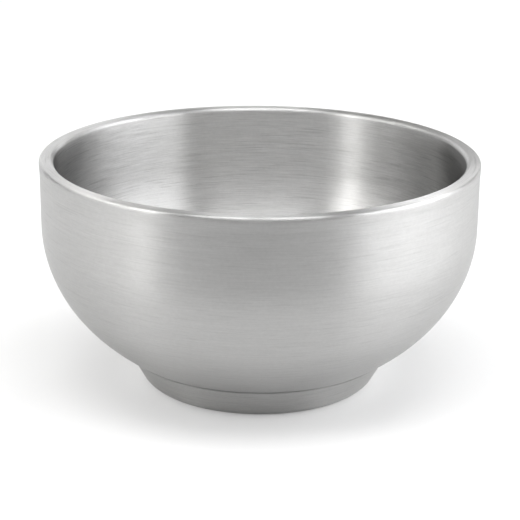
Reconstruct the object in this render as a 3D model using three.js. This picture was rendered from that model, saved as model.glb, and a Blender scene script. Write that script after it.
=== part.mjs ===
// A double-walled shaving bowl of drawn stainless steel.
//
// A liner and an outer shell hang from one rim, with still air between them. The liner's
// flange lies on the shell's top edge. The shell is open below, where a leaning foot ring is
// welded under it, and a base plate closes the ring. Every piece is turned about +Z, and the
// bowl stands on z = 0. Sizes are in millimetres and angles in degrees.
import * as THREE from "three";

// Rim
const bowlHeight = 61.2;
const rimRadius = 57.5;
const rimWidth = 3.8; // from the mouth to the outside
const rimCornerRadius = 0.7; // the rim's outer corner
const mouthEdgeRadius = 1.1; // the rim's rolled inner edge
const lipProud = 0.15; // how far the lip stands out of the wall
const lipHeight = 3.9;

// Sheet thicknesses
const linerSheet = 0.8;
const shellSheet = 0.7;
const footSheet = 0.8;
const baseSheet = 0.8;

// Outer shell: a straight wall that turns in, in one smooth curve, to the seam above the foot
const shoulderHeight = 43.8; // where the straight wall starts to turn in
const seamRadius = 35.2;
const seamHeight = 8.5;
const seamSlope = 32; // the shell's rise above the level at the seam
const shoulderFullness = 0.3; // how far each end of the curve keeps its direction, as a
const bellyFullness = 0.77; // share of the curve's own height and width
const shellLap = 1.2; // how far the shell goes on inwards past the foot's top edge

// Liner
const floorHeight = 7.2; // the liner's flat floor above the ground

// Foot ring
const footLean = 29; // how far the foot's wall leans in on its way down
const footCornerRadius = 3.9;
const footLandWidth = 1.6; // the flat ring that the bowl stands on
const footHemRadius = 1.3; // the bend from the flat ring up to the base plate
const footHemMargin = 0.5; // how far the hem stands above the base plate

// Base plate
const baseStep = 0.3; // from the end of the hem's bend up to the plate's edge
const baseCrown = 0.9; // how far the plate's middle rises above its edge

// Facets
const turnSegments = 48;
const bellySteps = 12;
const floorSteps = 5;
const cornerSteps = 3;
const lipSteps = 3;
const crownSteps = 5;

// Sizes that follow from the ones above
const radians = THREE.MathUtils.degToRad;
const wallRadius = rimRadius - lipProud;
const mouthRadius = rimRadius - rimWidth;
const rimJointHeight = bowlHeight - linerSheet;
const wallGap = wallRadius - mouthRadius; // from the shell's outside to the liner's inside
const slope = radians(seamSlope);
const lean = radians(footLean);

const point = (r, z) => new THREE.Vector2(r, z);

// A round stretch of outline about a centre. 0 points outwards, and 90 up.
function arc(centreR, centreZ, radius, from, to, steps) {
  const clockwise = to < from;
  return new THREE.EllipseCurve(
    centreR, centreZ, radius, radius, radians(from), radians(to), clockwise,
  ).getPoints(steps);
}

// A piece turned about +Z from its outline in the (r, z) half plane.
function turned(name, outline, material) {
  const geometry = new THREE.LatheGeometry(outline, turnSegments);
  geometry.rotateX(Math.PI / 2);
  const mesh = new THREE.Mesh(geometry, material);
  mesh.name = name;
  return mesh;
}

const bellyWidth = wallRadius - seamRadius;
const belly = new THREE.CubicBezierCurve(
  point(wallRadius, shoulderHeight),
  point(wallRadius, shoulderHeight - shoulderFullness * (shoulderHeight - seamHeight)),
  point(
    seamRadius + bellyFullness * bellyWidth,
    seamHeight + bellyFullness * bellyWidth * Math.tan(slope),
  ),
  point(seamRadius, seamHeight),
);

// The shell's outside from the shoulder down to the seam, moved inwards by inset.
function bellyOutline(inset) {
  const outline = [];
  for (let i = 0; i <= bellySteps; i += 1) {
    const along = belly.getTangent(i / bellySteps);
    const inwards = point(along.y, -along.x);
    outline.push(belly.getPoint(i / bellySteps).addScaledVector(inwards, inset));
  }
  return outline;
}

// The lip swells smoothly out of the wall up to the rim joint. Listed from the top down.
function lipOutline(inset) {
  const outline = [];
  for (let i = 0; i <= lipSteps; i += 1) {
    const share = 1 - i / lipSteps;
    const proud = lipProud * share * share * (3 - 2 * share);
    const z = rimJointHeight - (1 - share) * (lipHeight - linerSheet);
    outline.push(point(wallRadius + proud - inset, z));
  }
  return outline;
}

// A point on the shell's outside, past the seam on the straight way inwards.
function pastSeam(distance) {
  return point(seamRadius, seamHeight)
    .addScaledVector(point(-Math.cos(slope), -Math.sin(slope)), distance);
}

const footTopWidth = footSheet / Math.cos(slope + lean); // the foot's top edge, along the shell

function outerShell(material) {
  const end = pastSeam(footTopWidth + shellLap);
  const upwards = point(-Math.sin(slope), Math.cos(slope));
  const outside = [
    ...lipOutline(0),
    ...bellyOutline(0),
    pastSeam(footTopWidth),
    end,
  ];
  const inside = [
    end.clone().addScaledVector(upwards, shellSheet),
    ...bellyOutline(shellSheet).reverse(),
    ...lipOutline(shellSheet).reverse(),
  ];
  return turned("outer_shell", [...outside, ...inside, outside[0]].reverse(), material);
}

// One side of the liner from its floor to the end of its straight wall, inset from the
// shell's outside. The floor's bend meets the belly's parallel curve with no kink.
function linerSide(inset, floor) {
  const upperEnd = bellyOutline(inset).reverse();
  const start = upperEnd[0];
  const bendRadius = (start.y - floor) / (1 - Math.cos(slope));
  const flatRadius = start.x - bendRadius * Math.sin(slope);
  const bend = arc(flatRadius, floor + bendRadius, bendRadius, -90, seamSlope - 90, floorSteps);
  return [point(0, floor), ...bend.slice(0, -1), ...upperEnd];
}

function innerBowl(material) {
  const outside = linerSide(wallGap - linerSheet, floorHeight - linerSheet);
  const inside = linerSide(wallGap, floorHeight);
  const bendR = mouthRadius + mouthEdgeRadius;
  const bendZ = bowlHeight - mouthEdgeRadius;
  const flange = [
    ...arc(bendR, bendZ, mouthEdgeRadius - linerSheet, 180, 90, cornerSteps),
    point(rimRadius, rimJointHeight),
    ...arc(
      rimRadius - rimCornerRadius, bowlHeight - rimCornerRadius, rimCornerRadius, 0, 90, cornerSteps,
    ),
    ...arc(bendR, bendZ, mouthEdgeRadius, 90, 180, 2 * cornerSteps),
  ];
  return turned("inner_bowl", [...outside, ...flange, ...inside.reverse()], material);
}

// The foot's wall is tangent to its bottom corner, which is tangent to the ground.
const cornerRise = footCornerRadius * (1 - Math.sin(lean));
const wallLength = (seamHeight - cornerRise) / Math.cos(lean);
const cornerCentreR =
  seamRadius - wallLength * Math.sin(lean) - footCornerRadius * Math.cos(lean);
const landInnerRadius = cornerCentreR - footLandWidth;
const baseRadius = landInnerRadius - footHemRadius;
const baseHeight = footHemRadius + baseStep;
const hemTop = baseHeight + baseSheet + footHemMargin;

function footRing(material) {
  const outside = [
    point(seamRadius, seamHeight),
    ...arc(cornerCentreR, footCornerRadius, footCornerRadius, -footLean, -90, 2 * cornerSteps),
    ...arc(landInnerRadius, footHemRadius, footHemRadius, -90, -180, cornerSteps),
    point(baseRadius, hemTop),
  ];
  const inside = [
    point(baseRadius + footSheet, hemTop),
    ...arc(landInnerRadius, footHemRadius, footHemRadius - footSheet, -180, -90, cornerSteps),
    ...arc(
      cornerCentreR, footCornerRadius, footCornerRadius - footSheet, -90, -footLean, 2 * cornerSteps,
    ),
    pastSeam(footTopWidth),
  ];
  return turned("foot_ring", [...outside, ...inside, outside[0]].reverse(), material);
}

function basePlate(material) {
  const crownRadius = (baseRadius ** 2 + baseCrown ** 2) / (2 * baseCrown);
  const halfAngle = THREE.MathUtils.radToDeg(Math.asin(baseRadius / crownRadius));
  const crown = (height) =>
    arc(0, height + baseCrown - crownRadius, crownRadius, 90, 90 - halfAngle, crownSteps);
  const outline = [...crown(baseHeight), ...crown(baseHeight + baseSheet).reverse()];
  outline[0].x = 0;
  outline[outline.length - 1].x = 0;
  return turned("base_plate", outline, material);
}

const steel = (color, roughness) =>
  new THREE.MeshStandardMaterial({ color, roughness, metalness: 1 });
const linerSteel = steel(0xc9c8c5, 0.32);
const shellSteel = steel(0xbfbebb, 0.36);
const footSteel = steel(0xb6b5b2, 0.38);

const bowl = new THREE.Group();
bowl.name = "shaving_bowl";
bowl.add(innerBowl(linerSteel));
bowl.add(outerShell(shellSteel));
bowl.add(footRing(footSteel));
bowl.add(basePlate(footSteel));

export default bowl;
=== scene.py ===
"""A double-walled shaving bowl of brushed steel, standing on its foot.

Every piece is turned about +Z from an outline in the (r, z) half plane. Lengths are in metres.
"""
import math

import bmesh
import bpy
from mathutils import Matrix, Vector


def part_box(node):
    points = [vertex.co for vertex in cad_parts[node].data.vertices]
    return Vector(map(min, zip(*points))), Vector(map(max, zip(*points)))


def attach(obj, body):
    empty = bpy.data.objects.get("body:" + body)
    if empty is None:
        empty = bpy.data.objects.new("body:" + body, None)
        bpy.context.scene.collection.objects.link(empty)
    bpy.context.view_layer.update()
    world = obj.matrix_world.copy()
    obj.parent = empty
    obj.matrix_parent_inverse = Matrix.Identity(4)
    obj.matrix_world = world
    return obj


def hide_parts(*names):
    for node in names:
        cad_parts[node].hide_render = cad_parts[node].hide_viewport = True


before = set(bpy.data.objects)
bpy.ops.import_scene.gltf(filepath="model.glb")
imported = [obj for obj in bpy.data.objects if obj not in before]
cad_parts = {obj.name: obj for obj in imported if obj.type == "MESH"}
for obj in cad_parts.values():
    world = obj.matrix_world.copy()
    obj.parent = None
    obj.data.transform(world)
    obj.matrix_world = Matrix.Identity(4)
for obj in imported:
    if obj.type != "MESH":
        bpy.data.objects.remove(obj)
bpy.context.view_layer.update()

MM = 0.001

# Sizes that the frame gives
liner_low, liner_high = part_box("inner_bowl")
shell_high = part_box("outer_shell")[1]
foot_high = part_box("foot_ring")[1]
plate_low, plate_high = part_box("base_plate")
BOWL_HEIGHT = liner_high.z
RIM_RADIUS = liner_high.x
RIM_JOINT_HEIGHT = shell_high.z
LINER_SHEET = BOWL_HEIGHT - RIM_JOINT_HEIGHT
LINER_UNDERSIDE = liner_low.z
SEAM_RADIUS = foot_high.x
SEAM_HEIGHT = foot_high.z
PLATE_RADIUS = plate_high.x
PLATE_HEIGHT = plate_low.z

# Sizes of the pressings
RIM_WIDTH = 3.8 * MM
RIM_CORNER_RADIUS = 0.7 * MM
MOUTH_EDGE_RADIUS = 1.1 * MM
LIP_PROUD = 0.15 * MM
LIP_HEIGHT = 3.9 * MM
SHOULDER_HEIGHT = 43.8 * MM
SHOULDER_FULLNESS = 0.3
BELLY_FULLNESS = 0.77
SEAM_SLOPE = math.radians(32)
SHELL_SHEET = 0.7 * MM
SHELL_LAP = 1.2 * MM
FOOT_SHEET = 0.8 * MM
FOOT_LEAN = math.radians(29)
FOOT_CORNER_RADIUS = 3.9 * MM
FOOT_LAND_WIDTH = 1.6 * MM
FOOT_HEM_RADIUS = 1.3 * MM
PLATE_SHEET = 0.8 * MM
FOOT_HEM_MARGIN = 0.5 * MM
JOINT_EASE = 0.07 * MM  # the cut edges at the rim's joint are broken by this much
SEAM_EASE = 0.55 * MM  # and the foot's edge at the seam by this much

WALL_RADIUS = RIM_RADIUS - LIP_PROUD
MOUTH_RADIUS = RIM_RADIUS - RIM_WIDTH
WALL_GAP = WALL_RADIUS - MOUTH_RADIUS
FOOT_TOP_WIDTH = FOOT_SHEET / math.cos(SEAM_SLOPE + FOOT_LEAN)
FLOOR_HEIGHT = LINER_UNDERSIDE + LINER_SHEET

TURN_STEPS = 288
BELLY_STEPS = 48
CORNER_STEPS = 8
EASE_STEPS = 4
MERGE_DISTANCE = 1e-7
SHARP_ANGLE = math.radians(35)
WORN_RADIUS = 0.5 * MM  # a round as tight as this is worn fully, and a wider one less


# ---------------------------------------------------------------- outlines

def arc(centre, radius, start, end, steps):
    """Points on a round stretch about a centre. Angles in degrees: 0 points outwards, 90 up."""
    turns = [math.radians(start + (end - start) * i / steps) for i in range(steps + 1)]
    return [
        Vector((centre[0] + radius * math.cos(a), centre[1] + radius * math.sin(a)))
        for a in turns
    ]


def eased(before, corner, after, cut):
    """A corner with its edge broken: a small round from one side to the other."""
    start = corner + (before - corner).normalized() * cut
    end = corner + (after - corner).normalized() * cut
    made = []
    for i in range(EASE_STEPS + 1):
        t = i / EASE_STEPS
        made.append(start * (1 - t) ** 2 + corner * 2 * t * (1 - t) + end * t * t)
    return made


def belly(inset):
    """The shell's outside from the shoulder down to the seam, moved inwards by inset."""
    width = WALL_RADIUS - SEAM_RADIUS
    drop = SHOULDER_FULLNESS * (SHOULDER_HEIGHT - SEAM_HEIGHT)
    reach = BELLY_FULLNESS * width
    a = Vector((WALL_RADIUS, SHOULDER_HEIGHT))
    b = Vector((WALL_RADIUS, SHOULDER_HEIGHT - drop))
    c = Vector((SEAM_RADIUS + reach, SEAM_HEIGHT + reach * math.tan(SEAM_SLOPE)))
    d = Vector((SEAM_RADIUS, SEAM_HEIGHT))
    points = []
    for i in range(BELLY_STEPS + 1):
        t = i / BELLY_STEPS
        s = 1 - t
        place = a * s ** 3 + b * 3 * s * s * t + c * 3 * s * t * t + d * t ** 3
        along = ((b - a) * s * s + (c - b) * 2 * s * t + (d - c) * t * t).normalized()
        points.append(place + Vector((along.y, -along.x)) * inset)
    return points


def lip(inset):
    """The shell's top edge swells smoothly out to the rim's joint. Listed from the top down."""
    points = []
    for i in range(CORNER_STEPS + 1):
        share = 1 - i / CORNER_STEPS
        proud = LIP_PROUD * share * share * (3 - 2 * share)
        height = RIM_JOINT_HEIGHT - (1 - share) * (LIP_HEIGHT - LINER_SHEET)
        points.append(Vector((WALL_RADIUS + proud - inset, height)))
    return points


def past_seam(distance):
    """A point on the shell's outside, past the seam on the straight way inwards."""
    along = Vector((-math.cos(SEAM_SLOPE), -math.sin(SEAM_SLOPE)))
    return Vector((SEAM_RADIUS, SEAM_HEIGHT)) + along * distance


def shell_outline():
    end = past_seam(FOOT_TOP_WIDTH + SHELL_LAP)
    upwards = Vector((-math.sin(SEAM_SLOPE), math.cos(SEAM_SLOPE)))
    outer_lip = lip(0)
    inner_lip = lip(SHELL_SHEET)
    top = eased(inner_lip[0], outer_lip[0], outer_lip[1], JOINT_EASE)
    return [
        *top, *outer_lip[1:], *belly(0), past_seam(FOOT_TOP_WIDTH), end,
        end + upwards * SHELL_SHEET, *reversed(belly(SHELL_SHEET)), *reversed(inner_lip),
    ]


def liner_side(inset, floor):
    """One side of the liner, from its floor to the end of its straight wall."""
    upper = list(reversed(belly(inset)))
    start = upper[0]
    bend_radius = (start.y - floor) / (1 - math.cos(SEAM_SLOPE))
    flat_radius = start.x - bend_radius * math.sin(SEAM_SLOPE)
    bend_end = math.degrees(SEAM_SLOPE) - 90
    bend = arc((flat_radius, floor + bend_radius), bend_radius, -90, bend_end, CORNER_STEPS * 2)
    return [Vector((0, floor)), *bend[:-1], *upper]


def liner_outline():
    bend = (MOUTH_RADIUS + MOUTH_EDGE_RADIUS, BOWL_HEIGHT - MOUTH_EDGE_RADIUS)
    corner = (RIM_RADIUS - RIM_CORNER_RADIUS, BOWL_HEIGHT - RIM_CORNER_RADIUS)
    under_bend = arc(bend, MOUTH_EDGE_RADIUS - LINER_SHEET, 180, 90, CORNER_STEPS)
    rim_corner = arc(corner, RIM_CORNER_RADIUS, 0, 90, CORNER_STEPS)
    joint = Vector((RIM_RADIUS, RIM_JOINT_HEIGHT))
    return [
        *liner_side(WALL_GAP - LINER_SHEET, LINER_UNDERSIDE), *under_bend,
        *eased(under_bend[-1], joint, rim_corner[0], JOINT_EASE), *rim_corner,
        *arc(bend, MOUTH_EDGE_RADIUS, 90, 180, CORNER_STEPS * 2),
        *reversed(liner_side(WALL_GAP, FLOOR_HEIGHT)),
    ]


def foot_outline():
    lean = math.degrees(FOOT_LEAN)
    corner_rise = FOOT_CORNER_RADIUS * (1 - math.sin(FOOT_LEAN))
    wall = (SEAM_HEIGHT - corner_rise) / math.cos(FOOT_LEAN)
    centre_r = SEAM_RADIUS - wall * math.sin(FOOT_LEAN) - FOOT_CORNER_RADIUS * math.cos(FOOT_LEAN)
    corner = (centre_r, FOOT_CORNER_RADIUS)
    hem = (centre_r - FOOT_LAND_WIDTH, FOOT_HEM_RADIUS)
    hem_top = PLATE_HEIGHT + PLATE_SHEET + FOOT_HEM_MARGIN
    outside = arc(corner, FOOT_CORNER_RADIUS, -lean, -90, CORNER_STEPS * 2)
    seam = Vector((SEAM_RADIUS, SEAM_HEIGHT))
    return [
        *eased(past_seam(FOOT_TOP_WIDTH), seam, outside[0], SEAM_EASE), *outside,
        *arc(hem, FOOT_HEM_RADIUS, -90, -180, CORNER_STEPS),
        Vector((PLATE_RADIUS, hem_top)), Vector((PLATE_RADIUS + FOOT_SHEET, hem_top)),
        *arc(hem, FOOT_HEM_RADIUS - FOOT_SHEET, -180, -90, CORNER_STEPS),
        *arc(corner, FOOT_CORNER_RADIUS - FOOT_SHEET, -90, -lean, CORNER_STEPS * 2),
        past_seam(FOOT_TOP_WIDTH),
    ]


def plate_outline():
    crown = plate_high.z - plate_low.z - PLATE_SHEET
    radius = (PLATE_RADIUS ** 2 + crown ** 2) / (2 * crown)
    half = math.degrees(math.asin(PLATE_RADIUS / radius))
    side = arc((0, PLATE_HEIGHT + crown - radius), radius, 90, 90 - half, CORNER_STEPS * 2)
    above = [p + Vector((0, PLATE_SHEET)) for p in reversed(side)]
    made = [*side, *above]
    made[0].x = made[-1].x = 0
    return made


# ---------------------------------------------------------------- turning

def turning_tree():
    """Sweeps an outline round +Z: Outline is a mesh of edges in the (x, y) plane, as (r, z)."""
    tree = bpy.data.node_groups.new("turning", "GeometryNodeTree")
    face = tree.interface
    face.new_socket("Geometry", in_out="INPUT", socket_type="NodeSocketGeometry")
    face.new_socket("Guide radius", in_out="INPUT", socket_type="NodeSocketFloat")
    face.new_socket("Turn steps", in_out="INPUT", socket_type="NodeSocketInt")
    face.new_socket("Material", in_out="INPUT", socket_type="NodeSocketMaterial")
    face.new_socket("Geometry", in_out="OUTPUT", socket_type="NodeSocketGeometry")
    node = tree.nodes.new
    link = tree.links.new
    given = node("NodeGroupInput")
    outline = node("GeometryNodeMeshToCurve")
    guide = node("GeometryNodeCurvePrimitiveCircle")
    away = node("ShaderNodeMath")
    away.operation = "MULTIPLY"
    away.inputs[1].default_value = -1
    offset = node("ShaderNodeCombineXYZ")
    shifted = node("GeometryNodeTransform")
    shifted.inputs["Rotation"].default_value = (math.pi, 0, 0)
    swept = node("GeometryNodeCurveToMesh")
    merged = node("GeometryNodeMergeByDistance")
    merged.inputs["Distance"].default_value = MERGE_DISTANCE
    real = node("GeometryNodeRealizeInstances")
    painted = node("GeometryNodeSetMaterial")
    made = node("NodeGroupOutput")
    link(given.outputs["Geometry"], outline.inputs["Mesh"])
    link(given.outputs["Turn steps"], guide.inputs["Resolution"])
    link(given.outputs["Guide radius"], guide.inputs["Radius"])
    link(given.outputs["Guide radius"], away.inputs[0])
    link(away.outputs[0], offset.inputs["X"])
    link(outline.outputs["Curve"], shifted.inputs["Geometry"])
    link(offset.outputs[0], shifted.inputs["Translation"])
    link(guide.outputs["Curve"], swept.inputs["Curve"])
    link(shifted.outputs["Geometry"], swept.inputs["Profile Curve"])
    link(swept.outputs["Mesh"], merged.inputs["Geometry"])
    link(merged.outputs["Geometry"], real.inputs["Geometry"])
    link(real.outputs["Geometry"], painted.inputs["Geometry"])
    link(given.outputs["Material"], painted.inputs["Material"])
    link(painted.outputs["Geometry"], made.inputs["Geometry"])
    return tree


def set_input(modifier, name, value):
    for item in modifier.node_group.interface.items_tree:
        if item.item_type == "SOCKET" and item.in_out == "INPUT" and item.name == name:
            modifier[item.identifier] = value


def sharpness(outline):
    """How much the hand and the cloth have worn each point: 1 on a tight round, 0 on a flat."""
    worn = []
    for i, place in enumerate(outline):
        before = place - outline[i - 1]
        after = outline[(i + 1) % len(outline)] - place
        span = (before.length + after.length) / 2
        bend = abs(before.angle_signed(after, 0)) / span
        worn.append(min(1, bend * WORN_RADIUS))
    return worn


def drawn(name, outline):
    """The outline as a mesh of edges, with its wear. One that starts on the axis stays open."""
    edges = [(i, i + 1) for i in range(len(outline) - 1)]
    if outline[0].x > 0:
        edges.append((len(outline) - 1, 0))
    drawing = bpy.data.meshes.new(name + "_outline")
    drawing.from_pydata([(p.x, p.y, 0) for p in outline], edges, [])
    wear = drawing.attributes.new("wear", "FLOAT", "POINT")
    wear.data.foreach_set("value", sharpness(outline))
    return drawing


def facing_out(mesh):
    """Merges the doubles and points the faces outwards, smooth but for sharp edges."""
    solid = bmesh.new()
    solid.from_mesh(mesh)
    bmesh.ops.remove_doubles(solid, verts=solid.verts, dist=MERGE_DISTANCE)
    bmesh.ops.recalc_face_normals(solid, faces=solid.faces)
    solid.to_mesh(mesh)
    solid.free()
    mesh.shade_smooth()
    mesh.set_sharp_from_angle(angle=SHARP_ANGLE)


def turned(name, outline, material, tree):
    """A piece turned from its outline, as a plain mesh."""
    drawing = drawn(name, outline)
    holder = bpy.data.objects.new(name + "_outline", drawing)
    bpy.context.scene.collection.objects.link(holder)
    modifier = holder.modifiers.new("turning", "NODES")
    modifier.node_group = tree
    set_input(modifier, "Guide radius", RIM_RADIUS)
    set_input(modifier, "Turn steps", TURN_STEPS)
    set_input(modifier, "Material", material)
    depsgraph = bpy.context.evaluated_depsgraph_get()
    mesh = bpy.data.meshes.new_from_object(holder.evaluated_get(depsgraph))
    bpy.data.objects.remove(holder)
    bpy.data.meshes.remove(drawing)
    mesh.name = name
    facing_out(mesh)
    piece = bpy.data.objects.new(name, mesh)
    bpy.context.scene.collection.objects.link(piece)
    return piece


# ---------------------------------------------------------------- node trees for materials and light

class Shading:
    """Adds nodes to one node tree and links them."""

    def __init__(self, tree):
        self.nodes = tree.nodes
        self.link = tree.links.new

    def put(self, socket, value):
        """Links the value in if it is another node's, and sets it if it is plain."""
        if isinstance(value, bpy.types.NodeSocket):
            self.link(value, socket)
        else:
            socket.default_value = value

    def math(self, operation, *values):
        node = self.nodes.new("ShaderNodeMath")
        node.operation = operation
        for socket, value in zip(node.inputs, values):
            self.put(socket, value)
        return node.outputs[0]

    def vector(self, operation, *values, output="Vector"):
        node = self.nodes.new("ShaderNodeVectorMath")
        node.operation = operation
        for socket, value in zip(node.inputs, values):
            self.put(socket, value)
        return node.outputs[output]

    def split(self, value):
        node = self.nodes.new("ShaderNodeSeparateXYZ")
        self.link(value, node.inputs[0])
        return node.outputs

    def rise(self, value, start, end):
        """0 before start, 1 after end, and smooth between them."""
        node = self.nodes.new("ShaderNodeMapRange")
        node.interpolation_type = "SMOOTHSTEP"
        for name, bound in (("Value", value), ("From Min", start), ("From Max", end)):
            self.put(node.inputs[name], bound)
        return node.outputs["Result"]


# ---------------------------------------------------------------- steel

# Where the finish changes along a piece, and where shade is painted along the seam
SEAM_SHADE_SPAN = (0.7 * MM, 0.1 * MM)  # distance from the seam where the painted shade in its hollow starts, and is whole
RIM_FINISH = (1.8 * MM, 0.6 * MM)  # distance below the top where the rim's finish starts, and is whole
RIM_DULLNESS = 0.02  # how much rougher the rim is than the walls

# Each kind of mark: its length round the bowl, its width across, and how many octaves of detail
STREAKS = {
    "fine": (6 * MM, 0.3 * MM, 3),
    "coarse": (18 * MM, 0.8 * MM, 3),
    "bands": (90 * MM, 6 * MM, 1),
    "patches": (18 * MM, 18 * MM, 3),
    "peel": (0.9 * MM, 0.7 * MM, 2),
    "scratches": (14 * MM, 0.45 * MM, 1),
}
SCRATCHES_SHOW = (0.35, 0.8)  # the noise makes a scratch from the first value, a deep one at the second
NOISE_ROUGHNESS = 0.6
NOISE_SHIFT = 7.3  # how far apart two seeds read the noise

# Share of each mark in the tone, the roughness and the relief. The first of each two grows with
# the contrast of the brushing, and the second is the same on every piece.
TONE_OF_BRUSHING = {"fine": 0.085, "coarse": 0.045, "scratches": -0.09}
TONE_OF_SHEET = {"peel": 0.03, "bands": 0.012, "patches": 0.015, "wear": 0.04}
ROUGHNESS_OF_BRUSHING = {"fine": 0.03, "coarse": 0.03, "scratches": 0.05}
ROUGHNESS_OF_SHEET = {"patches": 0.015, "rim": RIM_DULLNESS}
RELIEF_OF_BRUSHING = {"fine": 1, "coarse": 1.6, "scratches": -2}
RELIEF_OF_SHEET = {"peel": 0.5}
RELIEF_DEPTH = 0.008 * MM
RELIEF_STRENGTH = 0.6
ACROSS_THE_MARKS = 0.25  # of a turn: the tangent runs round the bowl, and reflections spread across it


class Steel(Shading):
    """The node tree of one brushed finish. Marks run round the axis, so they are short across it.

    A mark's place is read as (x, y) along its length, and as r + z across it: that grows all the
    way along each outline, over flats and walls alike, so no stretch of a piece is left bare.
    """

    def __init__(self, name):
        self.material = bpy.data.materials.new(name)
        self.material.use_nodes = True
        super().__init__(self.material.node_tree)
        self.shader = self.nodes["Principled BSDF"]
        place = self.nodes.new("ShaderNodeTexCoord").outputs["Object"]
        x, y, self.height = self.split(place)
        radius = self.vector("LENGTH", self.vector("MULTIPLY", place, (1, 1, 0)), output="Value")
        join = self.nodes.new("ShaderNodeCombineXYZ")
        for socket, value in zip(join.inputs, (x, y, self.math("ADD", radius, self.height))):
            self.link(value, socket)
        self.place = join.outputs[0]

    def streaks(self, length, width, detail, seed):
        """Noise from about -1 to 1, drawn out round the bowl: marks of that length and width."""
        stretch = (1 / length, 1 / length, 1 / width)
        shift = (seed * NOISE_SHIFT,) * 3
        noise = self.nodes.new("ShaderNodeTexNoise")
        noise.inputs["Scale"].default_value = 1
        noise.inputs["Detail"].default_value = detail
        noise.inputs["Roughness"].default_value = NOISE_ROUGHNESS
        place = self.vector("ADD", self.vector("MULTIPLY", self.place, stretch), shift)
        self.link(place, noise.inputs["Vector"])
        return self.math("MULTIPLY_ADD", noise.outputs["Fac"], 4, -2)

    def marks(self, seed):
        """Everything that marks the sheet, by name, and the shade painted along the seam."""
        marks = {}
        for place, (name, sizes) in enumerate(STREAKS.items()):
            marks[name] = self.streaks(*sizes, seed + place)
        marks["scratches"] = self.rise(marks["scratches"], *SCRATCHES_SHOW)
        worn = self.nodes.new("ShaderNodeAttribute")
        worn.attribute_name = "wear"
        marks["wear"] = worn.outputs["Fac"]
        # Painted shade: the tone darkens in a band round the seam, as shade in the hollow between shell
        # and foot.
        from_seam = self.math("ABSOLUTE", self.math("SUBTRACT", self.height, SEAM_HEIGHT))
        marks["seam"] = self.rise(from_seam, *SEAM_SHADE_SPAN)
        from_top = self.math("SUBTRACT", BOWL_HEIGHT, self.height)
        marks["rim"] = self.rise(from_top, *RIM_FINISH)
        return marks

    def total(self, start, marks, shares):
        """The start and each mark's share, added up."""
        for name, share in shares.items():
            start = self.math("ADD", start, self.math("MULTIPLY", marks[name], share))
        return start


def scaled(shares, contrast):
    return {name: share * contrast for name, share in shares.items()}


def give_tone(steel, marks, colour, contrast, seam_shade):
    # The seam's share darkens the tone there: painted shade along the foot's seam.
    shares = scaled(TONE_OF_BRUSHING, contrast) | TONE_OF_SHEET | {"seam": -seam_shade}
    tint = steel.nodes.new("ShaderNodeVectorMath")
    tint.operation = "SCALE"
    tint.inputs[0].default_value = colour
    steel.link(steel.total(1.0, marks, shares), tint.inputs["Scale"])
    steel.link(tint.outputs["Vector"], steel.shader.inputs["Base Color"])


def give_gloss(steel, marks, roughness, directness, contrast, glance):
    shares = scaled(ROUGHNESS_OF_BRUSHING, contrast) | ROUGHNESS_OF_SHEET
    steel.link(steel.total(roughness, marks, shares), steel.shader.inputs["Roughness"])
    steel.shader.inputs["Metallic"].default_value = 1
    steel.shader.inputs["Anisotropic"].default_value = directness
    steel.shader.inputs["Anisotropic Rotation"].default_value = ACROSS_THE_MARKS
    tangent = steel.nodes.new("ShaderNodeTangent")
    tangent.direction_type = "RADIAL"
    tangent.axis = "Z"
    steel.link(tangent.outputs["Tangent"], steel.shader.inputs["Tangent"])
    if glance < 1:
        edge = steel.math("MULTIPLY_ADD", marks["rim"], 1 - glance, glance)
        steel.link(edge, steel.shader.inputs["Specular Tint"])


def give_relief(steel, marks, contrast):
    shares = scaled(RELIEF_OF_BRUSHING, contrast) | RELIEF_OF_SHEET
    bump = steel.nodes.new("ShaderNodeBump")
    bump.inputs["Strength"].default_value = RELIEF_STRENGTH
    bump.inputs["Distance"].default_value = RELIEF_DEPTH
    steel.link(steel.total(0.0, marks, shares), bump.inputs["Height"])
    steel.link(bump.outputs["Normal"], steel.shader.inputs["Normal"])


def brushed_steel(name, colour, roughness, directness, contrast, seed, seam_shade=0.0, glance=1.0):
    """Steel brushed round the axis.

    directness is how strictly the marks keep to the turn, contrast how plain they are, and crease
    how dark the shade painted along the foot's seam is. glance is how much the walls below the rim reflect
    at a low angle.
    """
    steel = Steel(name)
    marks = steel.marks(seed)
    give_tone(steel, marks, colour, contrast, seam_shade)
    give_gloss(steel, marks, roughness, directness, contrast, glance)
    give_relief(steel, marks, contrast)
    return steel.material


# ---------------------------------------------------------------- the bowl

liner_steel = brushed_steel(
    "liner_steel", (0.63, 0.628, 0.623), roughness=0.36, directness=1.0, contrast=1.2, seed=1,
    glance=0.45)
shell_steel = brushed_steel(
    "shell_steel", (0.61, 0.608, 0.603), roughness=0.36, directness=0.9, contrast=0.6, seed=5,
    seam_shade=0.35)
foot_steel = brushed_steel(
    "foot_steel", (0.65, 0.647, 0.64), roughness=0.34, directness=0.9, contrast=0.8, seed=9,
    seam_shade=0.35)

tree = turning_tree()
pieces = [
    ("inner_bowl", "liner", liner_outline(), liner_steel, "liner_steel"),
    ("outer_shell", "shell", shell_outline(), shell_steel, "shell_steel"),
    ("foot_ring", "foot", foot_outline(), foot_steel, "foot_steel"),
    ("base_plate", "base", plate_outline(), foot_steel, "base_steel"),
]
for node_name, piece_name, outline, material, slot in pieces:
    piece = turned(piece_name, outline, material, tree)
    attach(piece, "root")
    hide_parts(node_name)


# ---------------------------------------------------------------- studio

FLOOR_RADIUS = 3.0
FLOOR_STEPS = 96
FLOOR_ROUGHNESS = 0.9
FLOOR_GREY = 0.65
FLOOR_SHADE_IN_FRONT = 0.22  # painted shade on the floor in front, for reflected light only: to the camera the floor is pale all over
FLOOR_SHADE_SPAN = (-0.32, -0.12)  # y where the floor's painted shade in front is darkest, and where it is pale again
FLOOR_GLOW = 0.3  # lifts the floor towards white for the camera, and lights nothing

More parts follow.
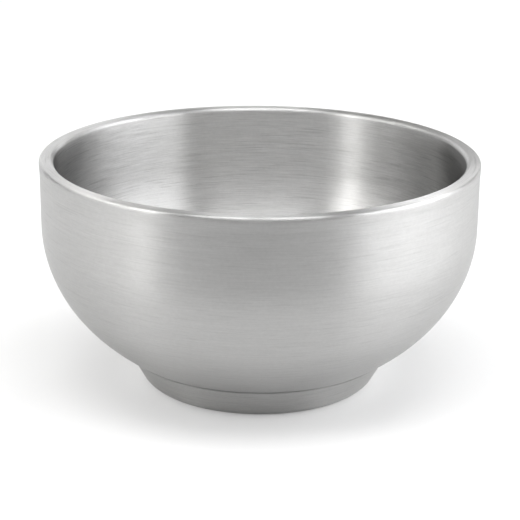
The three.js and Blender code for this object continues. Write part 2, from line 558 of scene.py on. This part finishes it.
COOL = (0.985, 0.99, 1)
WARM = (1, 0.995, 0.98)
PLAIN = (1, 1, 1)
PANEL_DISTANCE = 1.0
PANELS = [
    # name, azimuth, elevation, width, height (degrees), radiance, fades left, right, level, colour
    ("right_key", 72, 28, 48, 30, 3.6, (0.12, 0.6, 0.14), COOL),
    ("right_wing", 101, 30, 72, 30, 6.0, (0.6, 0.7, 0.14), COOL),
    ("left_strip", -62, 34, 17, 39, 5.3, (0.75, 0.1, 0.08), WARM),
    ("left_wing", -113, 40, 106, 20, 5.6, (1.0, 0.3, 0.2), WARM),
    ("overhead", 0, 76, 58, 34, 5.3, (0.3, 0.3, 0.2), PLAIN),
    ("back_right", 163, 31, 20, 40, 3.0, (0.3, 0.5, 0.3), PLAIN),
    ("back_left", -160, 22, 44, 34, 1.4, (0.3, 0.8, 0.2), PLAIN),
    ("back_low", 180, 7, 70, 13, 0.75, (0.2, 0.2, 0.1), PLAIN),
]

# The horizon's glow. The bounds are parts of the view's direction: z upwards, y away from the camera
HORIZON_TOP = math.sin(math.radians(6))
HORIZON_FRONT = (-1.05, -0.35)  # y where the glow starts, and where it is whole
HORIZON_BACK = (1.0, 0.7)
HORIZON_RIGHT = 7
HORIZON_LEFT = 4.4
SKY_START = (math.sin(math.radians(22)), math.sin(math.radians(30)))
SKY = 0.35

CAMERA_ELEVATION = math.radians(18.55)
CAMERA_DISTANCE = 7.5 * RIM_RADIUS
CAMERA_LEAN = math.radians(0.52)
CAMERA_LENS = 111.5
CAMERA_SENSOR = 36
CAMERA_SHIFT = (0.0018, 0.0102)
CAMERA_CLIP = (0.01, 20)


def floor_material():
    material = bpy.data.materials.new("studio_floor")
    material.use_nodes = True
    shade = Shading(material.node_tree)
    shader = shade.nodes["Principled BSDF"]
    shader.inputs["Roughness"].default_value = FLOOR_ROUGHNESS
    seen = shade.nodes.new("ShaderNodeLightPath").outputs["Is Camera Ray"]
    place = shade.split(shade.nodes.new("ShaderNodeTexCoord").outputs["Object"])
    # Painted shade: in reflections the floor is darker in front of the bowl, and to the camera it is pale
    # all over.
    pale = shade.math("MAXIMUM", shade.rise(place["Y"], *FLOOR_SHADE_SPAN), seen)
    step = FLOOR_GREY - FLOOR_SHADE_IN_FRONT
    shade.link(shade.math("MULTIPLY_ADD", pale, step, FLOOR_SHADE_IN_FRONT), shader.inputs["Base Color"])
    glow = shade.nodes.new("ShaderNodeEmission")
    glow.inputs["Strength"].default_value = FLOOR_GLOW
    shade.link(seen, glow.inputs["Color"])
    both = shade.nodes.new("ShaderNodeAddShader")
    shade.link(shader.outputs[0], both.inputs[0])
    shade.link(glow.outputs[0], both.inputs[1])
    shade.link(both.outputs[0], shade.nodes["Material Output"].inputs["Surface"])
    return material


def studio_floor():
    mesh = bpy.data.meshes.new("studio_floor")
    disc = bmesh.new()
    bmesh.ops.create_circle(disc, cap_ends=True, radius=FLOOR_RADIUS, segments=FLOOR_STEPS)
    disc.to_mesh(mesh)
    disc.free()
    floor = bpy.data.objects.new("studio_floor", mesh)
    bpy.context.scene.collection.objects.link(floor)
    floor.data.materials.append(floor_material())


def way(azimuth, elevation):
    """The direction from the bowl. Azimuth 0 is the camera's side, and 90 the bowl's right."""
    turn = math.radians(azimuth)
    rise = math.radians(elevation)
    level = math.cos(rise)
    return Vector((math.sin(turn) * level, -math.cos(turn) * level, math.sin(rise)))


def fade_edges(light, fades):
    """Dims a panel smoothly over these shares of its size, at its left, its right, and above and below."""
    light.use_nodes = True
    shade = Shading(light.node_tree)
    place = shade.split(shade.nodes.new("ShaderNodeNewGeometry").outputs["Parametric"])
    left, right, level = fades
    glow = 1.0
    for along, start, end in ((place["X"], left, right), (place["Y"], level, level)):
        glow = shade.math("MULTIPLY", glow, shade.rise(along, 0, start))
        glow = shade.math("MULTIPLY", glow, shade.rise(along, 1, 1 - end))
    shade.link(glow, shade.nodes["Emission"].inputs["Strength"])


def softbox(name, azimuth, elevation, across, upright, radiance, fades, colour):
    """A panel aimed at the bowl, which fills these angles as seen from it."""
    light = bpy.data.lights.new(name, "AREA")
    light.shape = "RECTANGLE"
    light.size = 2 * PANEL_DISTANCE * math.tan(math.radians(across / 2))
    light.size_y = 2 * PANEL_DISTANCE * math.tan(math.radians(upright / 2))
    light.energy = radiance * light.size * light.size_y * math.pi
    light.color = colour
    fade_edges(light, fades)
    panel = bpy.data.objects.new(name, light)
    bpy.context.scene.collection.objects.link(panel)
    panel.location = way(azimuth, elevation) * PANEL_DISTANCE
    panel.rotation_euler = panel.location.to_track_quat("Z", "Y").to_euler()
    panel.visible_camera = False


def world_light(shade):
    """How bright the world is each way: a glowing horizon at both sides, and a dim sky."""
    look = shade.split(shade.nodes.new("ShaderNodeTexCoord").outputs["Generated"])
    horizon = shade.rise(look["Z"], HORIZON_TOP, 0)
    sides = shade.math(
        "MULTIPLY", shade.rise(look["Y"], *HORIZON_FRONT), shade.rise(look["Y"], *HORIZON_BACK))
    rightness = shade.math("MULTIPLY_ADD", look["X"], 0.5, 0.5)
    level = shade.math("MULTIPLY_ADD", rightness, HORIZON_RIGHT - HORIZON_LEFT, HORIZON_LEFT)
    low = shade.math("MULTIPLY", shade.math("MULTIPLY", horizon, sides), level)
    frontness = shade.math("MULTIPLY_ADD", look["Y"], -0.5, 0.5)
    high = shade.math("MULTIPLY", shade.rise(look["Z"], *SKY_START), frontness)
    return shade.math("MULTIPLY_ADD", high, SKY, low)


def studio_world():
    """Lights the bowl from around, and is a plain white backdrop to the camera."""
    world = bpy.data.worlds.new("studio")
    bpy.context.scene.world = world
    world.use_nodes = True
    shade = Shading(world.node_tree)
    sky = shade.nodes["Background"]
    sky.inputs["Color"].default_value = (1, 1, 1, 1)
    shade.link(world_light(shade), sky.inputs["Strength"])
    white = shade.nodes.new("ShaderNodeBackground")
    white.inputs["Color"].default_value = (1, 1, 1, 1)
    mix = shade.nodes.new("ShaderNodeMixShader")
    shade.link(shade.nodes.new("ShaderNodeLightPath").outputs["Is Camera Ray"], mix.inputs[0])
    shade.link(sky.outputs[0], mix.inputs[1])
    shade.link(white.outputs[0], mix.inputs[2])
    shade.link(mix.outputs[0], shade.nodes["World Output"].inputs["Surface"])


def camera():
    """Looks down at the middle of the bowl from in front, leaning half a degree."""
    lens = bpy.data.cameras.new("camera")
    lens.lens = CAMERA_LENS
    lens.sensor_width = CAMERA_SENSOR
    lens.shift_x, lens.shift_y = CAMERA_SHIFT
    lens.clip_start, lens.clip_end = CAMERA_CLIP
    view = bpy.data.objects.new("camera", lens)
    bpy.context.scene.collection.objects.link(view)
    aim = Vector((0, 0, BOWL_HEIGHT / 2))
    back = Vector((0, -math.cos(CAMERA_ELEVATION), math.sin(CAMERA_ELEVATION)))
    view.location = aim + CAMERA_DISTANCE * back
    look = (view.location - aim).to_track_quat("Z", "Y").to_matrix()
    lean = Matrix.Rotation(CAMERA_LEAN, 3, Vector((0, 0, 1)))
    view.rotation_euler = (look @ lean).to_euler()
    bpy.context.scene.camera = view


studio_floor()
studio_world()
for panel in PANELS:
    softbox(*panel)
camera()
bpy.context.scene.view_settings.view_transform = "Standard"
